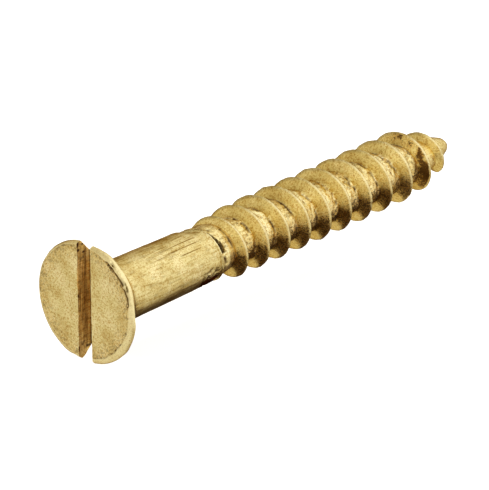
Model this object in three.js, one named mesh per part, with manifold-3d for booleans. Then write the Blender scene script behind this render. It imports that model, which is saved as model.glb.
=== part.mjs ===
// Slotted countersunk wood screw, rolled from one piece of brass. Millimetres, +Z up.
//
// The screw lies along X with its head at -X and its point at +X, and the driver slot runs along Z.
// The origin is on the surface that the head's rim touches, under the middle of the length.

import * as THREE from 'three';
import Module from 'manifold-3d';
import { mergeVertices } from 'three/addons/utils/BufferGeometryUtils.js';

// Overall
const overallLength = 31.4;
const facetsAround = 40;

// Countersunk head: flat face, bevelled rim, 90 degree cone and a small fillet into the shank
const headDiameter = 7.2;
const rimBevelDepth = 0.28;
const rimBevelWidth = 0.3;
const coneHalfAngle = THREE.MathUtils.degToRad(45);
const neckFillet = 0.35;

// Driver slot
const slotWidth = 0.95;
const slotDepth = 1.05;

// Plain shank, drawn slightly thinner towards the thread. Its length is measured from the head's face.
const neckDiameter = 3.58;
const shankEndDiameter = 3.42;
const shankLength = 8.55;

// Right-hand thread: narrow crests, 60 degree ridges and a wide flat valley between them.
// The first ridge begins at threadStart along X, seven tenths of a turn from +Z towards -Y.
const pitch = 1.8;
const threadDiameter = 4.0;
const coreDiameter = 2.8;
const crestWidth = 0.12;
const flankHalfAngle = THREE.MathUtils.degToRad(30);
const threadStart = 8.85;
const threadStartTurn = 0.7;
const threadTurns = 12;
const threadEnd = threadStart + pitch * threadTurns;
const narrowestFlank = 0.04;

const headRadius = headDiameter / 2;
// The rim stands on its two corners beside the slot.
const restHeight = Math.sqrt(headRadius ** 2 - (slotWidth / 2) ** 2);
const neckRadius = neckDiameter / 2;
const shankEndRadius = shankEndDiameter / 2;
const crestRadius = threadDiameter / 2;
const coreRadius = coreDiameter / 2;

// Radii along the axis, as [distance from the head's face, radius] corners of straight tapers.
// The valleys sink from the shank to the core within two turns, then follow the core down to a blunt point.
const valleyTaper = [
	[shankLength, shankEndRadius], [8.9, 1.64], [10.2, 1.58], [11.3, coreRadius],
	[27.0, 1.38], [29.5, 0.94], [30.3, 0.78], [30.7, 0.58], [31.0, 0.46], [31.25, 0.28], [overallLength, 0],
];
const pointCorners = 4;
// The crests climb out of the shank's end over two turns, and sink into the point over the last two.
const crestTaper = [
	[threadStart, 1.64], [11.0, 1.79], [11.7, 1.97], [12.8, crestRadius],
	[27.3, 1.98], [28.0, 1.79], [29.0, 1.45], [29.8, 1.24], [30.25, 1.05], [threadEnd, 0.7],
];

function alongTaper(corners, x) {
	if (x <= corners[0][0]) return corners[0][1];
	for (let i = 1; i < corners.length; i++) {
		const [startX, startRadius] = corners[i - 1];
		const [endX, endRadius] = corners[i];
		if (x <= endX) return THREE.MathUtils.mapLinear(x, startX, endX, startRadius, endRadius);
	}
	return corners[corners.length - 1][1];
}

// The head, neck and shank are round, so their stations are the same at every angle.
function headAndShankStations() {
	const stations = [{ x: 0, radius: 0 }];
	for (let i = 0; i <= 3; i++) {
		const turn = (i / 3) * Math.PI / 2;
		stations.push({
			x: rimBevelDepth * (1 - Math.cos(turn)),
			radius: headRadius - rimBevelWidth * (1 - Math.sin(turn)),
		});
	}
	const neckX = rimBevelDepth + (headRadius - neckRadius) / Math.tan(coneHalfAngle);
	const sharpNeck = new THREE.Vector2(neckX, neckRadius);
	const coneEnd = new THREE.Vector2(
		neckX - neckFillet * Math.cos(coneHalfAngle),
		neckRadius + neckFillet * Math.sin(coneHalfAngle),
	);
	const shankStart = new THREE.Vector2(neckX + neckFillet, neckRadius);
	const fillet = new THREE.QuadraticBezierCurve(coneEnd, sharpNeck, shankStart);
	for (const point of fillet.getPoints(4)) stations.push({ x: point.x, radius: point.y });
	stations.push({ x: shankLength, radius: shankEndRadius });
	return stations;
}

// A ridge's corners at one angle: both roots in the valley and both edges of the crest.
function ridgeStations(ridgeX) {
	const crest = alongTaper(crestTaper, ridgeX);
	const height = Math.max(crest - alongTaper(valleyTaper, ridgeX), 0);
	const flank = Math.max(height * Math.tan(flankHalfAngle), narrowestFlank);
	const leftRoot = ridgeX - crestWidth / 2 - flank;
	const rightRoot = ridgeX + crestWidth / 2 + flank;
	const top = alongTaper(valleyTaper, ridgeX) + height;
	return [
		{ x: leftRoot, radius: alongTaper(valleyTaper, leftRoot) },
		{ x: ridgeX - crestWidth / 2, radius: top },
		{ x: ridgeX + crestWidth / 2, radius: top },
		{ x: rightRoot, radius: alongTaper(valleyTaper, rightRoot) },
	];
}

// Points in the valley between two stations, spaced evenly.
function valleyStations(fromX, toX, count) {
	const stations = [];
	for (let i = 1; i <= count; i++) {
		const x = THREE.MathUtils.lerp(fromX, toX, i / (count + 1));
		stations.push({ x, radius: alongTaper(valleyTaper, x) });
	}
	return stations;
}

// All the stations along the screw at one angle, from the head's face to the point.
function stationsAt(turn) {
	const stations = headAndShankStations();
	for (let i = 0; i < threadTurns; i++) {
		const ridge = ridgeStations(threadStart + pitch * (i + turn));
		stations.push(...valleyStations(stations[stations.length - 1].x, ridge[0].x, 1), ...ridge);
	}
	const point = valleyTaper.slice(-pointCorners).map(([x, radius]) => ({ x, radius }));
	stations.push(...valleyStations(stations[stations.length - 1].x, point[0].x, 3), ...point);
	return stations;
}

// The whole screw without its slot. Each angle has its own column of stations, so the mesh edges follow the
// crests, and neighbouring columns are joined in the order of their stations along the axis.
function screwGeometry() {
	const positions = [];
	const triangles = [];
	const addVertex = (x, y, z) => positions.push(x, y, z) / 3 - 1;
	const faceCentre = addVertex(0, 0, 0);
	const pointEnd = addVertex(overallLength, 0, 0);
	const columns = [];
	for (let i = 0; i < facetsAround; i++) {
		const turn = i / facetsAround;
		const angle = (threadStartTurn + turn) * Math.PI * 2;
		columns.push(stationsAt(turn).map(({ x, radius }) => {
			if (radius > 0) return { x, vertex: addVertex(x, -radius * Math.sin(angle), radius * Math.cos(angle)) };
			return { x, vertex: x === 0 ? faceCentre : pointEnd };
		}));
	}
	const addTriangle = (a, b, c) => {
		if (a !== b && b !== c && c !== a) triangles.push(a, b, c);
	};
	columns.forEach((column, index) => {
		const next = columns[(index + 1) % facetsAround];
		let i = 0;
		let j = 0;
		while (i < column.length - 1 || j < next.length - 1) {
			const nextIsDone = j === next.length - 1;
			if (nextIsDone || (i < column.length - 1 && column[i + 1].x < next[j + 1].x)) {
				addTriangle(column[i].vertex, next[j].vertex, column[i + 1].vertex);
				i++;
			} else {
				addTriangle(column[i].vertex, next[j].vertex, next[j + 1].vertex);
				j++;
			}
		}
	});
	const geometry = new THREE.BufferGeometry();
	geometry.setAttribute('position', new THREE.Float32BufferAttribute(positions, 3));
	geometry.setIndex(triangles);
	return geometry;
}

// A box that overshoots the head on every open side, so the slot runs out through the rim.
function slotCutterGeometry() {
	const overshoot = 1;
	const box = new THREE.BoxGeometry(slotDepth + overshoot, slotWidth, headDiameter + 2 * overshoot);
	box.translate((slotDepth - overshoot) / 2, 0, 0);
	return box;
}

const wasm = await Module();
wasm.setup();

function toSolid(geometry) {
	geometry.deleteAttribute('normal');
	geometry.deleteAttribute('uv');
	const merged = mergeVertices(geometry);
	return new wasm.Manifold(new wasm.Mesh({
		numProp: 3,
		vertProperties: merged.getAttribute('position').array,
		triVerts: new Uint32Array(merged.index.array),
	}));
}

function toGeometry(solid) {
	const mesh = solid.getMesh();
	const geometry = new THREE.BufferGeometry();
	geometry.setAttribute('position', new THREE.BufferAttribute(mesh.vertProperties, 3));
	geometry.setIndex(new THREE.BufferAttribute(mesh.triVerts, 1));
	geometry.computeVertexNormals();
	return geometry;
}

const brass = new THREE.MeshStandardMaterial({ color: 0xb79d62, metalness: 1, roughness: 0.38 });

const slottedBlank = toSolid(screwGeometry()).subtract(toSolid(slotCutterGeometry()));
const woodScrew = new THREE.Mesh(toGeometry(slottedBlank), brass);
woodScrew.name = 'wood_screw';
woodScrew.position.set(-overallLength / 2, 0, restHeight);

const screw = new THREE.Group();
screw.add(woodScrew);

export default screw;
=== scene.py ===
"""A slotted countersunk brass wood screw with a rolled thread, rebuilt at its real size around the CAD frame.

The screw's own mesh is worked out here in millimetres, along the CAD model's axis. Distances along the
screw (x) are measured from the head's face, and angles turn from +Z towards -Y.
"""

import math

import bmesh
import bpy
import numpy as np
from mathutils import Matrix, Vector


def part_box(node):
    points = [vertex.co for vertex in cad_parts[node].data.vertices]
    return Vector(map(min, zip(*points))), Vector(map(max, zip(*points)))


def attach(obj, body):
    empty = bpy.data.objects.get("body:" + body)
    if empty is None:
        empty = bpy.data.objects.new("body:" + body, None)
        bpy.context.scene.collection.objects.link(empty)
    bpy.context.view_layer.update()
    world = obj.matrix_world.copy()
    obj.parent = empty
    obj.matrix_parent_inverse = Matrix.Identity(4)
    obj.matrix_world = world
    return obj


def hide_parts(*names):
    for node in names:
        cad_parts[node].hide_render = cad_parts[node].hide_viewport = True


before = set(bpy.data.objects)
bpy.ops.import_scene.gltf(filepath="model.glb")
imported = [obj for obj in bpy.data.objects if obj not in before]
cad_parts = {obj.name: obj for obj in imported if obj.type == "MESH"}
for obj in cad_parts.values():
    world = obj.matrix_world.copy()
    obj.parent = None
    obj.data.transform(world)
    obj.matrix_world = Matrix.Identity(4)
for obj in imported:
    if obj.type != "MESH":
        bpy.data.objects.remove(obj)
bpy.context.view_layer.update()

MM = 0.001
# A length is kept above this before anything is divided by it
SMALLEST_LENGTH = 1e-12

# Overall size, from the CAD node's box
screw_low, screw_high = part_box("wood_screw")
LENGTH = (screw_high.x - screw_low.x) / MM
HEAD_RADIUS = (screw_high.y - screw_low.y) / MM / 2
SLOT_WIDTH = 0.99
SLOT_DEPTH = 1.05
SLOT_SHIFT = -0.03
AXIS_HEIGHT = math.sqrt(HEAD_RADIUS**2 - (SLOT_WIDTH / 2) ** 2)

# Head: flat face, rounded rim, 90 degree cone, small fillet into the shank
RIM_RADIUS = HEAD_RADIUS * 1.012
RIM_DEPTH = 0.3
RIM_ROUNDING = 1.3
NECK_RADIUS = 1.805
NECK_FILLET = 0.35
NECK_X = RIM_DEPTH + RIM_RADIUS - NECK_RADIUS
SHANK_END_RADIUS = 1.72
SHANK_LENGTH = 8.55

# Right-hand thread
PITCH = 1.8
CREST_RADIUS = 2.01
CORE_RADIUS = 1.4
CREST_WIDTH = 0.08
CREST_BULGE = 0.02
FLANK_ANGLE = math.radians(30)
THREAD_START = 8.85
THREAD_START_TURN = 0.7
THREAD_TURNS = 12
THREAD_END = THREAD_START + PITCH * THREAD_TURNS
NARROWEST_FLANK = 0.04

# The crescent-shaped gap where the thread begins
GAP_DEPTH = 0.3
GAP_WIDTH = 0.36
GAP_NEAREST = 9.3
GAP_FURTHEST = 10.6

# Mesh resolution, and how much the rows crowd together where the shape changes fastest
COLUMNS = 216
FACE_RINGS = 20
EDGE_RINGS = 20
RIM_RINGS = 14
CONE_RINGS = 10
FILLET_RINGS = 6
SHANK_RINGS = 46
VALLEY_ROWS = 11
HEAD_FLANK_ROWS = 6
POINT_FLANK_ROWS = 3
CREST_ROWS = 3
POINT_ROWS = 14
OUTER_FACE_START = 0.78
FIRST_CONE_RING = 0.03
FIRST_VALLEY_CROWDING = 1.8
POINT_CROWDING = 1.4

# Radii along the axis, as [x, radius] corners of straight tapers
VALLEY_TAPER = [
    [SHANK_LENGTH, SHANK_END_RADIUS], [9.55, 1.69], [9.9, 1.6], [10.4, 1.56], [11.3, CORE_RADIUS],
    [27.0, 1.38], [29.5, 0.92], [30.3, 0.75], [30.7, 0.58], [30.95, 0.48], [31.15, 0.35], [31.31, 0.2],
    [LENGTH, 0],
]
CREST_TAPER = [
    [THREAD_START, 1.6], [9.22, 1.61], [9.37, 1.7], [9.55, 1.74], [9.8, 1.71], [10.2, 1.66], [11.0, 1.8],
    [11.9, 2.01], [12.8, CREST_RADIUS], [27.3, 1.98], [28.1, 1.8], [29.0, 1.45], [29.94, 1.27], [30.3, 1.0],
    [THREAD_END, 0.7],
]

# Width of the rounded rim at the angles round the head, as [degrees, width]
RIM_WIDTHS = [[0, 0.2], [30, 0.19], [70, 0.18], [95, 0.3], [130, 0.42], [165, 0.4], [195, 0.28], [250, 0.28],
              [290, 0.22], [320, 0.2], [345, 0.19], [360, 0.2]]

# What a point of the surface belongs to
FACE, RIM, CONE, SHANK, VALLEY, HEAD_FLANK, CREST, POINT_FLANK, POINT = range(9)


def along(taper, x):
    """The value of a straight-line taper at x."""
    places, values = zip(*taper)
    return np.interp(x, places, values)


def smoothstep(low, high, value):
    """0 below low, 1 above high, and a smooth rise between them."""
    part = np.clip((value - low) / (high - low), 0, 1)
    return part * part * (3 - 2 * part)


def band(value, rise, full, fading, gone):
    """1 from full to fading, and 0 before rise and after gone."""
    return smoothstep(rise, full, value) * smoothstep(gone, fading, value)


def peak(distance, width):
    """1 at no distance, falling away smoothly on both sides over about that width."""
    return np.exp(-((distance / width) ** 2))


def smooth_noise(points, cell, seed):
    """Seeded noise from -1 to 1, smooth over cells of that size in millimetres, and repeating after 32."""
    size = 32
    lattice = np.random.default_rng(seed).uniform(-1, 1, (size, size, size))
    scaled = points / cell
    corner = np.floor(scaled).astype(int)
    part = scaled - corner
    part = part**3 * (part * (part * 6 - 15) + 10)
    value = np.zeros(len(points))
    for offset in np.ndindex(2, 2, 2):
        weight = np.prod(np.where(offset, part, 1 - part), axis=1)
        index = (corner + offset) % size
        value += weight * lattice[index[:, 0], index[:, 1], index[:, 2]]
    return value


def layered_noise(points, cell, seed, layers=3):
    """Noise with finer and weaker layers on top, brought back to about -1 to 1."""
    total = 0
    for layer in range(layers):
        total = total + smooth_noise(points, cell / 2**layer, seed + layer) / 2**layer
    return total / 1.5


# ---------------------------------------------------------------- stations along the screw


def rim_start(degrees):
    """Radius where the flat face ends and the rounded rim begins."""
    return RIM_RADIUS - along(RIM_WIDTHS, degrees % 360)


def face_and_rim_rows(turn):
    """Rows of (x, radius, kind) from the face's first ring to the back of the rim, closest near its edge."""
    edge = rim_start(360 * (turn + THREAD_START_TURN))
    inner = OUTER_FACE_START * edge
    rows = [(0, inner * (i + 1) / FACE_RINGS, FACE) for i in range(FACE_RINGS)]
    rows += [(0, inner + (edge - inner) * (i + 1) / EDGE_RINGS, FACE) for i in range(EDGE_RINGS)]
    for i in range(1, RIM_RINGS + 1):
        angle = math.pi / 2 * i / RIM_RINGS
        x = RIM_DEPTH * (1 - math.cos(angle) ** RIM_ROUNDING)
        rows.append((x, edge + (RIM_RADIUS - edge) * math.sin(angle), RIM))
    return rows


def cone_and_shank_rows():
    """Rows of (x, radius, kind) down the cone, through the fillet and along the shank."""
    half = math.sqrt(0.5) * NECK_FILLET
    cone_end = np.array([NECK_X - half, NECK_RADIUS + half])
    neck = np.array([NECK_X, NECK_RADIUS])
    shank_start = np.array([NECK_X + NECK_FILLET, NECK_RADIUS])
    rim = np.array([RIM_DEPTH, RIM_RADIUS])
    edge = rim + (cone_end - rim) * FIRST_CONE_RING
    rows = [(*(edge + (cone_end - edge) * i / CONE_RINGS), CONE) for i in range(CONE_RINGS)]
    for i in range(FILLET_RINGS):
        t = i / FILLET_RINGS
        rows.append((*(cone_end * (1 - t) ** 2 + neck * 2 * t * (1 - t) + shank_start * t**2), CONE))
    for i in range(SHANK_RINGS + 1):
        t = i / SHANK_RINGS
        x = shank_start[0] + (SHANK_LENGTH - shank_start[0]) * t
        rows.append((x, NECK_RADIUS + (SHANK_END_RADIUS - NECK_RADIUS) * t, SHANK))
    return rows


def valley_rows(from_x, to_x, kind, crowding):
    """Rows between two ridges; crowding above 1 draws them towards the first."""
    shares = np.linspace(0, 1, VALLEY_ROWS + 2)[1:-1] ** crowding
    return [(x, along(VALLEY_TAPER, x), kind) for x in from_x + (to_x - from_x) * shares]


def gap_share(offset, x, degrees):
    """1 in the crescent-shaped gap behind the shank's rolled lip where the thread begins, 0 elsewhere."""
    width = GAP_WIDTH * smoothstep(15, 60, degrees)
    behind = smoothstep(0.03, 0.06, offset) * smoothstep(0.08 + width, 0.04 + width, offset)
    return behind * (GAP_NEAREST < x) * (x < GAP_FURTHEST) * smoothstep(76, 73, degrees)


def ridge_rows(ridge_x):
    """One ridge of the thread at one angle: up its head side, over the rounded crest, down to the valley."""
    valley = along(VALLEY_TAPER, ridge_x)
    height = max(along(CREST_TAPER, ridge_x) - valley, 0)
    flank = max(height * math.tan(FLANK_ANGLE), NARROWEST_FLANK)
    left_root = ridge_x - CREST_WIDTH / 2 - flank
    right_root = ridge_x + CREST_WIDTH / 2 + flank
    rows = []
    for i in range(HEAD_FLANK_ROWS):
        t = i / HEAD_FLANK_ROWS
        x = left_root + flank * t
        root = along(VALLEY_TAPER, left_root)
        rows.append((x, root + (valley + height - root) * t, HEAD_FLANK))
    for i in range(CREST_ROWS):
        t = i / (CREST_ROWS - 1)
        bulge = CREST_BULGE * (1 - (2 * t - 1) ** 2)
        rows.append((ridge_x + CREST_WIDTH * (t - 0.5), valley + height + bulge, CREST))
    for i in range(POINT_FLANK_ROWS):
        t = (i + 1) / POINT_FLANK_ROWS
        x = right_root - flank * (1 - t)
        root = along(VALLEY_TAPER, right_root)
        rows.append((x, valley + height + (root - valley - height) * t, POINT_FLANK))
    return rows


def rows_at(turn):
    """All the rows at one angle, from the middle of the face to the point."""
    rows = face_and_rim_rows(turn) + cone_and_shank_rows()
    for i in range(THREAD_TURNS):
        ridge = ridge_rows(THREAD_START + PITCH * (i + turn))
        kind = SHANK if i == 0 else VALLEY
        crowding = FIRST_VALLEY_CROWDING if i == 1 else 1.0
        rows += valley_rows(rows[-1][0], ridge[0][0], kind, crowding) + ridge
    start = rows[-1][0]
    for i in range(1, POINT_ROWS):
        x = start + (LENGTH - start) * (1 - (1 - i / POINT_ROWS) ** POINT_CROWDING)
        rows.append((x, along(VALLEY_TAPER, x), POINT))
    degrees = 360 * ((turn + THREAD_START_TURN) % 1)
    lip_x = THREAD_START + PITCH * turn
    return [(x, radius - GAP_DEPTH * gap_share(x - lip_x, x, degrees), kind) for x, radius, kind in rows]


def screw_blank():
    """Vertices, kinds, angles and triangles of the screw before wear and before its slot is cut."""
    columns = [rows_at(i / COLUMNS) for i in range(COLUMNS)]
    count = len(columns[0])
    grid = np.array(columns)
    angle = 2 * math.pi * (THREAD_START_TURN + np.arange(COLUMNS) / COLUMNS)[:, None] + 0 * grid[..., 0]
    x, radius = grid[..., 0], grid[..., 1]
    points = np.stack([x, -radius * np.sin(angle), radius * np.cos(angle)], -1).reshape(-1, 3)
    face_centre = len(points)
    point_end = face_centre + 1
    points = np.vstack([points, [0, 0, 0], [LENGTH, 0, 0]])
    kinds = np.append(grid[..., 2].reshape(-1), [FACE, POINT]).astype(int)
    angles = np.append(angle.reshape(-1), [0, 0])

    triangles = []
    index = np.arange(COLUMNS * count).reshape(COLUMNS, count)
    here, beyond = index[:-1], index[1:]
    triangles.append(np.stack([here[:, :-1], beyond[:, :-1], here[:, 1:]], -1).reshape(-1, 3))
    triangles.append(np.stack([here[:, 1:], beyond[:, :-1], beyond[:, 1:]], -1).reshape(-1, 3))
    triangles.append(seam_triangles(index[-1], index[0], x[-1], x[0], FACE_RINGS + EDGE_RINGS - 1))
    ring = np.roll(index[:, 0], -1)
    triangles.append(np.stack([index[:, 0], np.full(COLUMNS, face_centre), ring], -1))
    ring = np.roll(index[:, -1], -1)
    triangles.append(np.stack([index[:, -1], ring, np.full(COLUMNS, point_end)], -1))
    return points, kinds, angles, np.vstack(triangles)


def seam_triangles(last, first, last_x, first_x, flat_rows):
    """Joins the last column to the first, whose ridges are one turn apart, in the order of their x."""
    triangles = []
    i = j = 0
    while i < len(last) - 1 or j < len(first) - 1:
        if i < flat_rows or j < flat_rows:
            step_last = i <= j
        elif j == len(first) - 1:
            step_last = True
        else:
            step_last = i < len(last) - 1 and last_x[i + 1] < first_x[j + 1]
        if step_last:
            triangles.append((last[i], first[j], last[i + 1]))
            i += 1
        else:
            triangles.append((last[i], first[j], first[j + 1]))
            j += 1
    return np.array(triangles)


def vertex_normals(points, triangles):
    """Unit normals at the vertices, from the areas and directions of the triangles round them."""
    a, b, c = (points[triangles[:, i]] for i in range(3))
    across = np.cross(b - a, c - a)
    normals = np.zeros_like(points)
    for i in range(3):
        np.add.at(normals, triangles[:, i], across)
    return normals / np.maximum(np.linalg.norm(normals, axis=1, keepdims=True), SMALLEST_LENGTH)


# ---------------------------------------------------------------- wear, tool marks and painted shade

# Stretches covered by a mark, as (rise, full, fading, gone), in degrees round the screw
FAINT_FOLD_RIGHT = (85, 110, 165, 185)
FAINT_FOLD_LEFT = (255, 290, 340, 352)
HEAD_CRACK = (27, 36, 75, 80)
WIDE_HEAD_CRACK = (40, 58, 70, 80)
HEAD_CRACK_STAIN = (24, 34, 78, 86)
WORN_LEFT_EDGE = (195, 230, 320, 345)
TORN_SIDE = (88, 110, 150, 175)
# Painted shade on the shank's underside, and more of it near the shank's end
UNDERSIDE_PAINTED_SHADE = (108, 126, 160, 175)
SHANK_END_PAINTED_SHADE = (104, 118, 160, 175)
SCORED_SIDE = (-5, 8, 48, 66)
SHORT_CRACK = (82, 86, 98, 104)
CLEAN_LAST_SIDE = (104, 122, 180, 200)
HIGHLIGHT_SIDE = (10, 30, 85, 105)

# The same along the screw, in millimetres
SCORED_STRETCH = (4.0, 5.2, 8.1, 8.9)
SUNK_SHANK_END = (8.3, 9.0, 9.6, 10.2)
SUNK_RUN_IN = (8.8, 9.05, 10.15, 10.4)
LOW_FIRST_CREST = (11.3, 11.7, 13.4, 14.4)

# The same in turns of the thread
PAINTED_SHADE_TURNS = (0.4, 1.0, 10.7, 10.9)
LAST_FULL_TURN = (10.2, 10.35, 10.7, 10.8)

# The line along the screw's upper back side, in degrees round the screw, and how many degrees from it a
# mark is (gone, full)
BACK_LINE = -35
SUNK_BACK = (60, 15)
DARK_BACK = (50, 22)

# Where the thread's run-in is over, in millimetres along the screw
RUN_IN_END = 10.3

# Heights, depths, widths and places of the marks, in millimetres
FACE_WAVES = 0.02
FACE_ROUGHNESS = 0.006
FOLD_INSET = 0.01
FOLD_WANDER = 0.025
FOLD_WIDTH = 0.04
FOLD_DEPTH = 0.03
HEAD_CRACK_WIDTH = 0.038
HEAD_CRACK_WIDENING = 0.05
HEAD_CRACK_DEPTH = 0.22
SECOND_CRACK_OFFSET = 0.14
SECOND_CRACK_WIDTH = 0.035
DRAW_LINES = 0.006
SHANK_WAVES = 0.01
SHANK_SINKING = 0.16
RING_X = 8.25
RING_WANDER = 0.1
RING_WIDTH = 0.06
RING_DEPTH = 0.03
TORN_DEPTH = 0.09
FLAKES = 0.045
PIT_DEPTH = 0.02
VALLEY_CRACK_DEPTH = 0.04
FLAKE_EDGE_OFFSET = -0.52
FLAKE_EDGE_WIDTH = 0.07
FLAKE_EDGE_DEPTH = 0.05
FLANK_WAVES = 0.01
CREST_WAVES = 0.015
CREST_ROUGHNESS = 0.01
CREST_SINKING = 0.06
RUN_IN_SINKING = 0.06
SHORT_CRACK_X = 10.2
SHORT_CRACK_WIDTH = 0.07
SHORT_CRACK_DEPTH = 0.1

# How the patterns are stretched: drawn out along the screw, or rolled out round it
DRAWN = (0.07, 1, 1)
SLIGHTLY_DRAWN = (0.4, 1, 1)
ROLLED = (1, 0.35, 0.35)

# Where the head's edge swells and sinks, and by how much in millimetres
EDGE_SWELLINGS = [
    ((8, 26, 58, 84), 0.12),
    ((88, 100, 122, 138), 0.04),
    ((190, 205, 235, 260), 0.05),
    ((-17, -2, 18, 33), -0.05),
    ((180, 184, 190, 203), -0.06),
]

# The head leans about a point near the neck, by this much and towards this direction. The lean is full
# before the second distance along the screw and ends at the first
LEAN = math.radians(2.2)
LEAN_TOWARDS = Vector((-0.699, -0.6035, 0.3833))
LEAN_PIVOT = np.array([2.2, 0, 0])
LEAN_STRETCH = (2.6, 1.2)

# Height of the screw's slightly bent axis, as [x, height] corners
BEND = [
    [0, 0.15], [2, -0.01], [6, -0.01], [14, 0], [20, 0], [26, 0.07], [29.2, 0.03], [30.4, 0.1], [30.75, 0.13],
    [30.95, 0.12], [31.2, 0.1], [LENGTH, 0.06],
]


def ridge_offset(x, angles):
    """Distance along the axis from the nearest ridge of the thread, negative on the head's side."""
    turn = angles / (2 * math.pi) - THREAD_START_TURN
    ridge = (x - THREAD_START) / PITCH - turn
    return (ridge - np.round(ridge)) * PITCH


def half_turned(degrees):
    """The same angles counted from -180 to 180."""
    return (degrees + 180) % 360 - 180


def from_back_line(angles):
    """How many degrees a point lies from the line along the screw's upper back side."""
    return np.abs(half_turned(np.degrees(angles) - BACK_LINE))


def head_marks(points, angles, kinds):
    """Heights and dirt of the face's waves, the fold round its edge and the ragged crack in that fold, with
    painted shade in the crack.
    """
    x = points[:, 0]
    radius = np.hypot(points[:, 1], points[:, 2])
    degrees = np.degrees(angles) % 360
    edge = rim_start(degrees)
    face = (kinds == FACE) | (kinds == RIM)
    height = face * FACE_WAVES * layered_noise(points, 0.9, seed=11)
    height += face * FACE_ROUGHNESS * smooth_noise(points, 0.2, seed=15)

    wander = smooth_noise(points, 0.5, seed=21) + smooth_noise(points, 0.17, seed=22)
    from_fold = radius - edge - FOLD_INSET - FOLD_WANDER * wander
    shallow = x < RIM_DEPTH * 0.6
    faint = band(degrees, *FAINT_FOLD_RIGHT) + 0.8 * band(degrees, *FAINT_FOLD_LEFT)
    fold = peak(from_fold, FOLD_WIDTH) * shallow * faint
    ragged = smoothstep(-0.9, -0.2, smooth_noise(points, 0.3, seed=23))
    crack_width = HEAD_CRACK_WIDTH + HEAD_CRACK_WIDENING * band(degrees, *WIDE_HEAD_CRACK)
    broken = smoothstep(0.1, 0.4, smooth_noise(points, 0.35, seed=24))
    second = 0.65 * peak(from_fold - SECOND_CRACK_OFFSET, SECOND_CRACK_WIDTH) * broken
    crack = np.maximum(peak(from_fold, crack_width) * ragged, second) * shallow
    crack *= band(degrees, *HEAD_CRACK)
    height -= FOLD_DEPTH * fold + HEAD_CRACK_DEPTH * crack

    swelling = sum(amount * band(degrees, *stretch) for stretch, amount in EDGE_SWELLINGS)
    height += swelling * smoothstep(edge + 0.05, RIM_RADIUS, radius) * (x > 0)

    specks = smoothstep(0.1, 0.6, smooth_noise(points, 0.09, seed=25))
    near_edge = smoothstep(edge - 1.2, edge, radius) * (kinds == FACE)
    left_edge = band(degrees, *WORN_LEFT_EDGE) * (kinds == RIM)
    left_edge *= smoothstep(RIM_RADIUS - 0.12, RIM_RADIUS - 0.03, radius)
    # The crack and the thin line beside it are darkened as painted shade in them; the fold line, the specks
    # near the face's edge and the worn left edge of the rim are darkened too
    dirt_and_shade = fold * (0.25 + 0.5 * specks) + 1.1 * crack + 0.45 * near_edge * specks + 0.5 * left_edge
    on_head = smoothstep(1.6, 1.0, x)
    return height * on_head, np.clip(dirt_and_shade, 0, 1) * on_head


def shank_marks(points, angles, kinds):
    """Heights and dirt of the shank's fine draw lines and soft unevenness, and of its torn end, with painted
    shade along its underside.
    """
    x = points[:, 0]
    degrees = np.degrees(angles) % 360
    lines = smooth_noise(points * DRAWN, 0.1, seed=31)
    soft = layered_noise(points, 0.7, seed=34)
    flecks = smooth_noise(points * SLIGHTLY_DRAWN, 0.16, seed=36)
    height = DRAW_LINES * (lines + flecks) + SHANK_WAVES * soft
    height -= SHANK_SINKING * band(x, *SUNK_SHANK_END) * smoothstep(*SUNK_BACK, from_back_line(angles))

    low = band(degrees, *TORN_SIDE)
    ring = peak(x - RING_X - RING_WANDER * soft, RING_WIDTH) * low
    torn = smoothstep(8.2, 8.7, x) * smoothstep(-0.1, 0.3, layered_noise(points, 0.16, seed=37)) * low
    height -= RING_DEPTH * ring + TORN_DEPTH * torn
    # Painted shade along the shank's underside, stronger towards its end
    underside_shade = band(degrees, *UNDERSIDE_PAINTED_SHADE) + band(degrees, *SHANK_END_PAINTED_SHADE) * smoothstep(7.9, 8.7, x)
    dirt_and_shade = 0.35 * np.clip(-flecks - 0.3, 0, 1) + 0.3 * ring + 0.8 * torn + 0.6 * underside_shade
    on_shank = (kinds == SHANK) | (kinds == CONE)
    return height * on_shank, np.clip(dirt_and_shade, 0, 1) * on_shank


def scored_share(points, angles, kinds):
    """1 where the shank carries its deepest draw lines, fading to 0 elsewhere."""
    degrees = half_turned(np.degrees(angles))
    return band(degrees, *SCORED_SIDE) * band(points[:, 0], *SCORED_STRETCH) * (kinds == SHANK)


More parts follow.
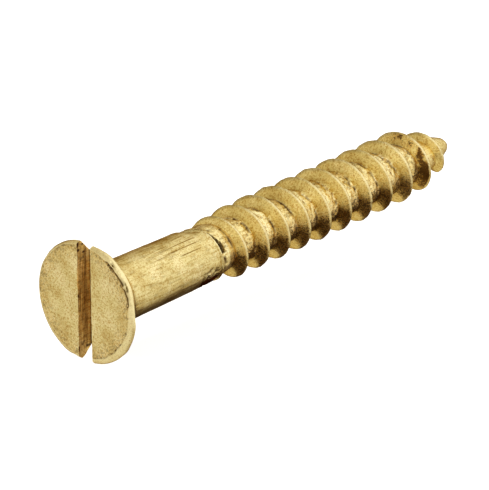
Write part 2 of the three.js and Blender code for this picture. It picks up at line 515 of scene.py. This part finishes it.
def thread_marks(points, angles, kinds):
    """Heights and dirt of flakes, pits and cracks in the valleys, wavy crests and nearly smooth flanks."""
    x = points[:, 0]
    offset = ridge_offset(x, angles)
    valley = kinds == VALLEY
    flank = (kinds == HEAD_FLANK) | (kinds == POINT_FLANK)
    crest = kinds == CREST
    around = points * ROLLED
    flakes = layered_noise(around, 0.24, seed=41)
    pits = smoothstep(0.35, 0.7, smooth_noise(points, 0.14, seed=45))
    cracks = peak(smooth_noise(around, 0.15, seed=47), 0.12)
    cracks *= smoothstep(0.0, 0.45, smooth_noise(points, 0.5, seed=49))
    flake_edge = peak(offset - FLAKE_EDGE_OFFSET + 0.05 * flakes, FLAKE_EDGE_WIDTH)
    flake_edge *= smoothstep(-0.4, 0.5, smooth_noise(points, 0.3, seed=50))
    smooth_end = smoothstep(28.3, 27.8, x)
    height = valley * (FLAKES * flakes - PIT_DEPTH * pits - VALLEY_CRACK_DEPTH * cracks) * smooth_end
    height -= FLAKE_EDGE_DEPTH * flake_edge * smooth_end
    height += flank * FLANK_WAVES * layered_noise(points, 0.5, seed=51)
    height += crest * CREST_WAVES * smooth_noise(points, 0.35, seed=55)
    height += crest * CREST_ROUGHNESS * smooth_noise(points, 0.12, seed=56)

    back = smoothstep(*SUNK_BACK, from_back_line(angles))
    height -= CREST_SINKING * crest * band(x, *LOW_FIRST_CREST) * back
    height -= RUN_IN_SINKING * (1 + smoothstep(9.7, 9.4, x)) * band(x, *SUNK_RUN_IN) * back
    dirt_and_shade = (valley * (0.35 * pits + 0.45 * cracks) + (valley | flank) * flake_edge) * smooth_end
    dark_back = smoothstep(*DARK_BACK, from_back_line(angles)) * (flank | crest)
    dirt_and_shade += 0.38 * smoothstep(-0.16, -0.06, offset) * dark_back
    dirt_and_shade += 0.4 * smoothstep(31.1, 31.3, x)
    in_thread = smoothstep(8.6, 9.2, x)
    return height * in_thread, np.clip(dirt_and_shade, 0, 1) * in_thread


def run_in_marks(points, angles, _kinds):
    """Painted shade darkening the gap where the thread begins, and a short, darkened crack beyond its lower
    end.
    """
    degrees = np.degrees(angles) % 360
    x = points[:, 0]
    gap = gap_share(ridge_offset(x, angles), x, degrees)
    from_crack = x - SHORT_CRACK_X - 0.012 * (degrees - 92)
    crack = peak(from_crack, SHORT_CRACK_WIDTH) * band(degrees, *SHORT_CRACK)
    # The gap's darkening is painted shade; the short crack is darkened too
    return -SHORT_CRACK_DEPTH * crack, np.clip(2 * gap + 1.5 * crack, 0, 1)


def thread_stain_and_shade(points, angles, kinds):
    """How far the thread is darkened: by painted shade low on each ridge, and by a dark stain all round the
    last full one.
    """
    degrees = np.degrees(angles) % 360
    offset = ridge_offset(points[:, 0], angles)
    turns = (points[:, 0] - offset - THREAD_START) / PITCH
    head_side = (kinds == HEAD_FLANK) & (offset > -0.6)
    # Painted shade on the lower part of each ridge, between about 40 and 200 degrees round
    low = 0.35 * smoothstep(40, 80, degrees) + 0.65 * smoothstep(78, 102, degrees)
    low *= 0.15 + 0.85 * smoothstep(148, 134, degrees)
    low *= smoothstep(200, 180, degrees) * band(turns, *PAINTED_SHADE_TURNS)
    last = band(turns, *LAST_FULL_TURN) * head_side
    last *= smoothstep(-0.7, 0.1, smooth_noise(points, 0.35, seed=71)) * smoothstep(-0.45, -0.2, offset)
    last *= 1 - 0.8 * band(degrees, *CLEAN_LAST_SIDE)
    return np.clip(0.62 * low * (head_side | (kinds == VALLEY)) + 0.95 * last, 0, 1)


def head_stain(points, angles, kinds):
    """How far the head is stained brown: round the crack in its fold, and towards the edge of its face."""
    radius = np.hypot(points[:, 1], points[:, 2])
    degrees = np.degrees(angles) % 360
    edge = rim_start(degrees)
    by_crack = peak(radius - edge, 0.08) * ((kinds == FACE) | (kinds == RIM))
    by_crack *= band(degrees, *HEAD_CRACK_STAIN)
    return 0.42 * by_crack + 0.26 * smoothstep(edge - 1.1, edge, radius) * (kinds == FACE)


def bent(points):
    """The whole screw's slight bend, and the head's slight lean."""
    axis = Vector((1, 0, 0)).cross(LEAN_TOWARDS).normalized()
    turned = (points - LEAN_PIVOT) @ np.array(Matrix.Rotation(LEAN, 3, axis)).T + LEAN_PIVOT
    share = smoothstep(*LEAN_STRETCH, points[:, 0])[:, None]
    moved = points * (1 - share) + turned * share
    moved[:, 2] += along(BEND, points[:, 0])
    return moved


# ---------------------------------------------------------------- the screw's mesh

SLOT_OVERSHOOT = 0.8
SLOT_TOLERANCE = 1e-6
WELD_DISTANCE = 1e-7
SHARP_ANGLE = math.radians(50)

# Roughness of the slot, and how far its sides open out at the face, in millimetres
SIDE_SCRATCHES = 0.012
SIDE_WAVES = 0.012
SIDE_FLARE = 0.03
FLOOR_WAVES = 0.03
SCRATCHED = (1, 1, 0.08)

# A burr on one side of the slot's mouth, near the middle and again at the top
BURR_Z = 0.28
BURR_SIZE = 0.13
BURR_TOP = (3.1, 3.4)
BURR_REACH = 0.05


def new_mesh(name, points, triangles):
    """A mesh of those vertices and triangles."""
    mesh = bpy.data.meshes.new(name)
    mesh.from_pydata(points.tolist(), [], triangles.tolist())
    mesh.update()
    return mesh


def add_values(mesh, name, values):
    """Gives every vertex a number that the brass can read by that name."""
    layer = mesh.attributes.new(name, "FLOAT", "POINT")
    layer.data.foreach_set("value", np.asarray(values, np.float32))


def add_object(name, data):
    """Puts a mesh or a camera into the scene."""
    made = bpy.data.objects.new(name, data)
    bpy.context.scene.collection.objects.link(made)
    return made


def to_frame(points):
    """From millimetres along the screw to metres in the CAD frame."""
    return (points + [-LENGTH / 2, 0, AXIS_HEIGHT]) * MM


def screw_mesh():
    """The worn and bent screw before its slot is cut, with the values that the brass reads."""
    blank, kinds, angles, triangles = screw_blank()
    height = np.zeros(len(blank))
    dirt_and_shade = np.zeros(len(blank))
    for marks in (head_marks, shank_marks, thread_marks, run_in_marks):
        more_height, more_dirt_and_shade = marks(blank, angles, kinds)
        height += more_height
        dirt_and_shade = np.maximum(dirt_and_shade, more_dirt_and_shade)
    worn = blank + vertex_normals(blank, triangles) * height[:, None]
    mesh = new_mesh("wood_screw_blank", to_frame(bent(worn)), triangles)

    x = blank[:, 0]
    degrees = np.degrees(angles) % 360
    offset = ridge_offset(x, angles)
    on_ridge = (x > RUN_IN_END) * (kinds == HEAD_FLANK)
    front_of_crest = (kinds == CREST) * (offset < -0.02) * smoothstep(9.3, 9.4, x)
    front_of_crest *= 1 - (x < RUN_IN_END) * smoothstep(50, 75, degrees)
    # A painted highlight: the front of each crest and the whole rim are lightened, most on the side turned to
    # the light
    bright = band(degrees, *HIGHLIGHT_SIDE)
    # Dirt, and painted shade in the head's crack, the thread's gap and under the shank
    add_values(mesh, "dirt_and_shade", dirt_and_shade)
    add_values(mesh, "flank", on_ridge)
    # Painted shade where each head-side flank meets the valley below it
    add_values(mesh, "root", on_ridge * smoothstep(-0.2, -0.45, offset))
    add_values(mesh, "painted_highlight", 0.75 * front_of_crest * bright + (0.35 + 0.3 * bright) * (kinds == RIM))
    add_values(mesh, "scored", scored_share(blank, angles, kinds))
    # Stains on the head and the last turn, and painted shade low on each ridge of the thread
    add_values(mesh, "stain_and_painted_shade", thread_stain_and_shade(blank, angles, kinds) + head_stain(blank, angles, kinds))
    add_values(mesh, "valley", kinds == VALLEY)
    add_values(mesh, "slot", np.zeros(len(blank)))
    return mesh


def slot_cutter():
    """A box with scratched sides, a little wider at the face, that overshoots the head on its open sides, and
    painted shade on its floor.
    """
    mouth = np.linspace(-0.1, 0.1, 11)
    deep = np.concatenate([[-SLOT_OVERSHOOT, -0.3], mouth, np.linspace(0.15, SLOT_DEPTH, 16)])
    tall = np.linspace(-HEAD_RADIUS - SLOT_OVERSHOOT, HEAD_RADIUS + SLOT_OVERSHOOT, 150)
    across = np.linspace(-SLOT_WIDTH / 2, SLOT_WIDTH / 2, 12)
    sheets, triangles = [], []

    def add_sheet(first, second, place):
        """A grid of triangles over two ranges; place turns the two grids into x, y and z."""
        grids = np.meshgrid(first, second, indexing="ij")
        corners = np.stack(np.broadcast_arrays(*place(*grids)), -1)
        rows, columns = corners.shape[:2]
        index = np.arange(rows * columns).reshape(rows, columns) + sum(len(sheet) for sheet in sheets)
        a, b, c, d = index[:-1, :-1], index[1:, :-1], index[1:, 1:], index[:-1, 1:]
        triangles.extend(np.stack(three, -1).reshape(-1, 3) for three in ((a, b, c), (a, c, d)))
        sheets.append(corners.reshape(-1, 3))

    for y in (across[0], across[-1]):
        add_sheet(deep, tall, lambda x, z: (x, y, z))
    for x in (deep[0], deep[-1]):
        add_sheet(across, tall, lambda y, z: (x, y, z))
    for z in (tall[0], tall[-1]):
        add_sheet(deep, across, lambda x, y: (x, y, z))
    points = np.vstack(sheets)

    side = np.sign(points[:, 1]) * (np.abs(points[:, 1]) > SLOT_WIDTH / 2 - SLOT_TOLERANCE)
    scratches = smooth_noise(points * SCRATCHED, 0.1, seed=61)
    rough = layered_noise(points, 0.3, seed=63)
    flare = SIDE_FLARE * smoothstep(0.04, -0.02, points[:, 0])
    burr = peak(points[:, 2] - BURR_Z, BURR_SIZE) + smoothstep(*BURR_TOP, points[:, 2])
    burr *= (points[:, 1] > 0) * smoothstep(0.3, 0.0, points[:, 0])
    points[:, 1] += side * (SIDE_SCRATCHES * scratches + SIDE_WAVES * rough + flare)
    points[:, 1] += side * BURR_REACH * burr * (0.6 + rough)
    points[:, 0] += (points[:, 0] > SLOT_DEPTH - SLOT_TOLERANCE) * FLOOR_WAVES * rough
    mesh = new_mesh("slot_cutter", to_frame(bent(points + [0, SLOT_SHIFT, 0])), np.vstack(triangles))

    spots = smoothstep(0.25, 0.7, smooth_noise(points, 0.16, seed=65))
    ends = smoothstep(2.1, 3.2, np.abs(points[:, 2]))
    # Painted shade: the slot's floor is darkened; the scratches, burrs, spots and ends below are dirt
    grime_and_floor_shade = 0.5 * smoothstep(SLOT_DEPTH - 0.1, SLOT_DEPTH - 0.02, points[:, 0])
    grime_and_floor_shade += 0.5 * np.clip(-scratches - 0.4, 0, 1) + 1.1 * burr + spots * (0.3 + 0.5 * ends) + 0.3 * ends
    for name in ("flank", "root", "painted_highlight", "valley", "scored", "stain_and_painted_shade"):
        add_values(mesh, name, np.zeros(len(points)))
    add_values(mesh, "slot", np.ones(len(points)))
    add_values(mesh, "dirt_and_shade", np.clip(grime_and_floor_shade, 0, 1))
    close_up(mesh)
    return mesh


def close_up(mesh):
    """Joins the sheets of a box along their edges and turns every face outwards."""
    work = bmesh.new()
    work.from_mesh(mesh)
    bmesh.ops.remove_doubles(work, verts=work.verts, dist=WELD_DISTANCE)
    bmesh.ops.recalc_face_normals(work, faces=work.faces)
    work.to_mesh(mesh)
    work.free()


def cut_slot(screw):
    """Cuts the driver slot into the screw's mesh, for good."""
    cutter = add_object("slot_cutter", slot_cutter())
    cut = screw.modifiers.new("slot", "BOOLEAN")
    cut.operation = "DIFFERENCE"
    cut.solver = "MANIFOLD"
    cut.object = cutter
    evaluated = screw.evaluated_get(bpy.context.evaluated_depsgraph_get())
    mesh = bpy.data.meshes.new_from_object(evaluated)
    screw.modifiers.clear()
    screw.data = mesh
    bpy.data.objects.remove(cutter)


# ---------------------------------------------------------------- materials

WHITE = (1, 1, 1)

# Colours that the plain brass is multiplied by, or that replace it
GRAIN_DARK = (0.7, 0.55, 0.36)
SPECK_DARK = (0.55, 0.34, 0.13)
LINE_DARK = (0.72, 0.65, 0.5)
SCORE_DARK = (0.4, 0.29, 0.14)
CRACK_DARK = (0.4, 0.24, 0.09)
VALLEY_PALE = (1.18, 1.2, 1.25)
SLOT_DARK = (0.65, 0.46, 0.28)
SLOT_PALE_PAINTED_LIGHT = (1.6, 1.32, 0.93)
FLANK_TINT = (1.06, 0.99, 0.76, 1)
ROOT_PAINTED_SHADE = (0.78, 0.74, 0.64, 1)
STAIN_AND_SHADE_TINT = (0.98, 0.79, 0.56, 1)
PAINTED_HIGHLIGHT = (0.97, 0.86, 0.5, 1)
DARK_DIRT_AND_SHADE = (0.045, 0.008, 0.001, 1)
SHEEN_TINT = (0.82, 0.66, 0.42, 1)
SHEEN_LEVEL = 0.15
SLOT_METALLIC = 0.45
RELIEF_DEPTH = 0.02 * MM


def node(tree, kind, inputs=None, **settings):
    """A new node, with its settings set and each input linked or given its value."""
    made = tree.nodes.new(kind)
    for name, value in settings.items():
        setattr(made, name, value)
    for name, value in (inputs or {}).items():
        socket = made.inputs[name]
        if hasattr(value, "links"):
            tree.links.new(value, socket)
        else:
            socket.default_value = value
    return made


def colour_ramp(tree, factor, stops):
    """A ramp through (place, colour) stops."""
    ramp = node(tree, "ShaderNodeValToRGB", {"Fac": factor})
    elements = ramp.color_ramp.elements
    while len(elements) < len(stops):
        elements.new(0.5)
    for element, (place, colour) in zip(elements, stops):
        element.position = place
        element.color = (*colour, 1)
    return ramp.outputs["Color"]


def combine(tree, operation, first, second):
    """Two numbers added, multiplied or otherwise combined."""
    return node(tree, "ShaderNodeMath", {0: first, 1: second}, operation=operation).outputs[0]


def remap(tree, value, low, high, to_low, to_high, **settings):
    """A number stretched from one range to another, and kept inside it."""
    inputs = {"Value": value, "From Min": low, "From Max": high, "To Min": to_low, "To Max": to_high}
    return node(tree, "ShaderNodeMapRange", inputs, **settings).outputs[0]


def empty_tree(owner):
    """The node tree of a material or a world, with nothing in it."""
    owner.use_nodes = True
    owner.node_tree.nodes.clear()
    return owner.node_tree


def brass():
    """Worn brass: blotched and grained, lighter in the valleys, with a painted highlight on crests and rim,
    browner in the slot yet lifted there by painted light, and darkened by dirt and by painted shade in
    cracks, in the thread's gap and roots, on the slot's floor and under the screw.
    """
    material = bpy.data.materials.new("worn_brass")
    tree = empty_tree(material)
    place = node(tree, "ShaderNodeTexCoord").outputs["Object"]

    def stretched(*scale):
        """Places from which a pattern comes out stretched wherever the scale is below 1."""
        return node(tree, "ShaderNodeMapping", {"Vector": place, "Scale": scale}).outputs[0]

    def noise(scale, detail, vector=place, roughness=0.55):
        """A cloudy pattern, with about that many features to the metre."""
        inputs = {"Vector": vector, "Scale": scale, "Detail": detail, "Roughness": roughness}
        return node(tree, "ShaderNodeTexNoise", inputs).outputs["Fac"]

    def attribute(name):
        """The number that every vertex has by that name."""
        return node(tree, "ShaderNodeAttribute", attribute_name=name).outputs["Fac"]

    def mix(factor, first, second, blend="MIX"):
        """The first colour, with that share of the second mixed or multiplied into it."""
        inputs = {0: factor, 6: first, 7: second}
        return node(tree, "ShaderNodeMix", inputs, data_type="RGBA", blend_type=blend).outputs[2]

    def multiplied(base, colour, factor=1):
        """The base colour times another, as far as the factor says."""
        return mix(factor, base, colour, "MULTIPLY")

    def times(first, second):
        """Two numbers multiplied."""
        return combine(tree, "MULTIPLY", first, second)

    blotches = noise(scale=900, detail=5)
    grain = noise(scale=9000, detail=3, roughness=0.7)
    specks = noise(scale=13000, detail=2)
    lines = noise(scale=9000, detail=2, vector=stretched(0.12, 1, 1))
    scores = noise(scale=7000, detail=1, vector=stretched(0.035, 1, 1))
    strokes = noise(scale=8000, detail=3, vector=stretched(*ROLLED))
    planed = noise(scale=4500, detail=4, vector=stretched(1, 1, 0.06), roughness=0.65)
    stains = noise(scale=9000, detail=5, roughness=0.65)

    base = colour_ramp(tree, blotches, [(0.3, (0.70, 0.56, 0.23)), (0.48, (0.82, 0.71, 0.34)),
                                        (0.66, (0.94, 0.84, 0.47))])
    base = multiplied(base, colour_ramp(tree, grain, [(0.36, GRAIN_DARK), (0.52, WHITE)]))
    base = multiplied(base, colour_ramp(tree, specks, [(0.28, SPECK_DARK), (0.37, WHITE)]))
    base = multiplied(base, colour_ramp(tree, lines, [(0.3, LINE_DARK), (0.5, WHITE)]))
    grooved = colour_ramp(tree, scores, [(0.36, SCORE_DARK), (0.43, WHITE)])
    base = multiplied(base, grooved, attribute("scored"))
    base = multiplied(base, FLANK_TINT, attribute("flank"))
    # Painted shade at the roots of the flanks
    base = multiplied(base, ROOT_PAINTED_SHADE, attribute("root"))
    cracked = colour_ramp(tree, strokes, [(0.30, CRACK_DARK), (0.38, VALLEY_PALE)])
    base = multiplied(base, cracked, attribute("valley"))
    # Painted highlight on the crests and the rim
    base = mix(attribute("painted_highlight"), base, PAINTED_HIGHLIGHT)
    # The slot's scratch pattern, lifted well above plain brass: partly real scratches, partly painted light
    # in the slot
    scratched = colour_ramp(tree, planed, [(0.38, SLOT_DARK), (0.58, SLOT_PALE_PAINTED_LIGHT)])
    base = multiplied(base, scratched, attribute("slot"))
    # Stains, and painted shade low on each ridge, tint and darken the brass
    base = multiplied(base, STAIN_AND_SHADE_TINT, attribute("stain_and_painted_shade"))
    stain_and_shade = combine(tree, "ADD", attribute("stain_and_painted_shade"), remap(tree, stains, 0, 1, -1.5, 1.5))
    stain_and_shade = remap(tree, stain_and_shade, 0.42, 0.74, 0, 0.88)
    dirt_and_shade = combine(tree, "MAXIMUM", stain_and_shade, attribute("dirt_and_shade"))
    # Dirt and painted shade both turn the brass this dark brown
    base = mix(dirt_and_shade, base, DARK_DIRT_AND_SHADE)

    metallic = remap(tree, attribute("slot"), 0, 1, 1, SLOT_METALLIC)
    tarnish = combine(tree, "MAXIMUM", times(attribute("slot"), 0.5), dirt_and_shade)
    roughness = combine(tree, "ADD", remap(tree, blotches, 0.3, 0.7, 0.26, 0.38), times(tarnish, 0.2))
    relief = combine(tree, "ADD", grain, times(lines, 0.8))
    relief = combine(tree, "ADD", relief, times(times(strokes, attribute("valley")), 2))
    relief = combine(tree, "ADD", relief, times(times(scores, attribute("scored")), 2))
    bump = node(tree, "ShaderNodeBump", {"Strength": 0.5, "Distance": RELIEF_DEPTH, "Height": relief})
    shader = node(tree, "ShaderNodeBsdfPrincipled", {
        "Base Color": base, "Metallic": metallic, "Roughness": roughness, "Normal": bump.outputs[0],
        "Specular IOR Level": SHEEN_LEVEL, "Specular Tint": SHEEN_TINT,
    })
    node(tree, "ShaderNodeOutputMaterial", {"Surface": shader.outputs[0]})
    return material


def matt(name, colour, glow, glow_strength):
    """A fully rough, plain material with a glow of its own."""
    material = bpy.data.materials.new(name)
    tree = empty_tree(material)
    shader = node(tree, "ShaderNodeBsdfPrincipled", {
        "Base Color": colour, "Roughness": 1.0, "Emission Color": glow, "Emission Strength": glow_strength,
    })
    node(tree, "ShaderNodeOutputMaterial", {"Surface": shader.outputs[0]})
    return material


def make_screw():
    """The whole screw, as one piece of brass."""
    screw = add_object("brass_wood_screw", screw_mesh())
    cut_slot(screw)
    screw.data.materials.clear()
    screw.data.materials.append(brass())
    screw.data.shade_smooth()
    screw.data.set_sharp_from_angle(angle=SHARP_ANGLE)
    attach(screw, "root")
    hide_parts("wood_screw")


# ---------------------------------------------------------------- floor, light and camera

CAMERA_AZIMUTH = math.radians(-49.2)
CAMERA_ELEVATION = math.radians(22.54)
CAMERA_DISTANCE = 0.6
CAMERA_AIM = Vector((-1.574, 0.445, 2.647)) * MM
CAMERA_NEAREST = 0.01
CAMERA_FURTHEST = 10
LENS = 776.9

# Soft patches of the studio: direction, degrees at which they are full and gone, and brightness added
LIGHTS = [
    ((0.62, -0.70, 0.40), 35, 86, 0.42),
    ((-0.65, 0.30, -0.70), 20, 70, 0.15),
    ((-0.70, -0.60, 0.38), 10, 45, 0.35),
    ((0.62, -0.45, -0.64), 20, 65, -0.20),
    ((0.68, 0.62, -0.35), 15, 50, -0.38),
]
PLAIN_BRIGHTNESS = 0.55
STUDIO_STRENGTH = 1.24

# Colours of the studio from its darkest to its brightest parts
STUDIO_COLOURS = [
    (0, (0.03, 0.014, 0.006)), (0.15, (0.17, 0.095, 0.04)), (0.35, (0.38, 0.30, 0.18)),
    (0.5, (0.53, 0.475, 0.37)), (1, (1, 0.98, 0.94)),
]
FLOOR_REACH = 3.0

# The painted shadow card's corners as (x, y) in millimetres along and across the screw
CARD_CORNERS = [(2.4, -2.4), (26.2, -4.2), (26.2, -0.6), (9.5, 0.1), (2.4, 0.3)]
CARD_HEIGHT = 0.2 * MM


def flat_sheet(name, corners, material):
    """A flat piece with those corners."""
    mesh = bpy.data.meshes.new(name)
    mesh.from_pydata(corners, [], [range(len(corners))])
    mesh.materials.append(material)
    return add_object(name, mesh)


def make_floor():
    """A wide pale floor that the brass neither reflects nor is lit by."""
    size = FLOOR_REACH
    corners = [(-size, -size, 0), (size, -size, 0), (size, size, 0), (-size, size, 0)]
    material = matt("pale_floor", (0.8, 0.8, 0.8, 1), glow=(1, 1, 1, 1), glow_strength=0.85)
    floor = flat_sheet("floor", corners, material)
    floor.visible_glossy = False
    floor.visible_diffuse = False


def make_painted_shadow_card():
    """A painted shadow: a dark card beneath the shank and thread, out of the camera's sight and faintly
    glowing warm, that the brass reflects in place of the floor's shadow.
    """
    corners = [((x - LENGTH / 2) * MM, y * MM, CARD_HEIGHT) for x, y in CARD_CORNERS]
    material = matt("painted_shadow_card", (0.03, 0.015, 0.01, 1), glow=(1, 0.45, 0.14, 1), glow_strength=0.05)
    card = flat_sheet("painted_shadow_card", corners, material)
    card.visible_camera = False
    card.visible_shadow = False


def make_world():
    """A soft studio: bright from the right and from the camera's side, dark behind and low on the right."""
    world = bpy.data.worlds.new("soft_studio")
    tree = empty_tree(world)
    direction = node(tree, "ShaderNodeTexCoord").outputs["Generated"]

    def patch(towards, inner, outer, strength):
        """A soft round patch of light, full inside one angle and gone outside the other."""
        inputs = {0: direction, 1: Vector(towards).normalized()}
        dot = node(tree, "ShaderNodeVectorMath", inputs, operation="DOT_PRODUCT").outputs["Value"]
        gone, full = math.cos(math.radians(outer)), math.cos(math.radians(inner))
        return remap(tree, dot, gone, full, 0, strength, interpolation_type="SMOOTHSTEP")

    total = PLAIN_BRIGHTNESS
    for light in LIGHTS:
        total = combine(tree, "ADD", patch(*light), total)
    colour = colour_ramp(tree, total, STUDIO_COLOURS)
    background = node(tree, "ShaderNodeBackground", {"Color": colour, "Strength": STUDIO_STRENGTH})
    node(tree, "ShaderNodeOutputWorld", {"Surface": background.outputs[0]})
    bpy.context.scene.world = world


def make_camera():
    """The camera, in front of the head's face, to its right and above it, with a very long lens."""
    back = Vector((
        math.sin(CAMERA_AZIMUTH) * math.cos(CAMERA_ELEVATION),
        -math.cos(CAMERA_AZIMUTH) * math.cos(CAMERA_ELEVATION),
        math.sin(CAMERA_ELEVATION),
    ))
    data = bpy.data.cameras.new("camera")
    data.lens = LENS
    data.clip_start = CAMERA_NEAREST
    data.clip_end = CAMERA_FURTHEST
    camera = add_object("camera", data)
    camera.location = CAMERA_AIM + back * CAMERA_DISTANCE
    camera.rotation_mode = "QUATERNION"
    camera.rotation_quaternion = (-back).to_track_quat("-Z", "Y")
    bpy.context.scene.camera = camera


make_screw()
make_floor()
make_painted_shadow_card()
make_world()
make_camera()
bpy.context.scene.view_settings.view_transform = "Standard"
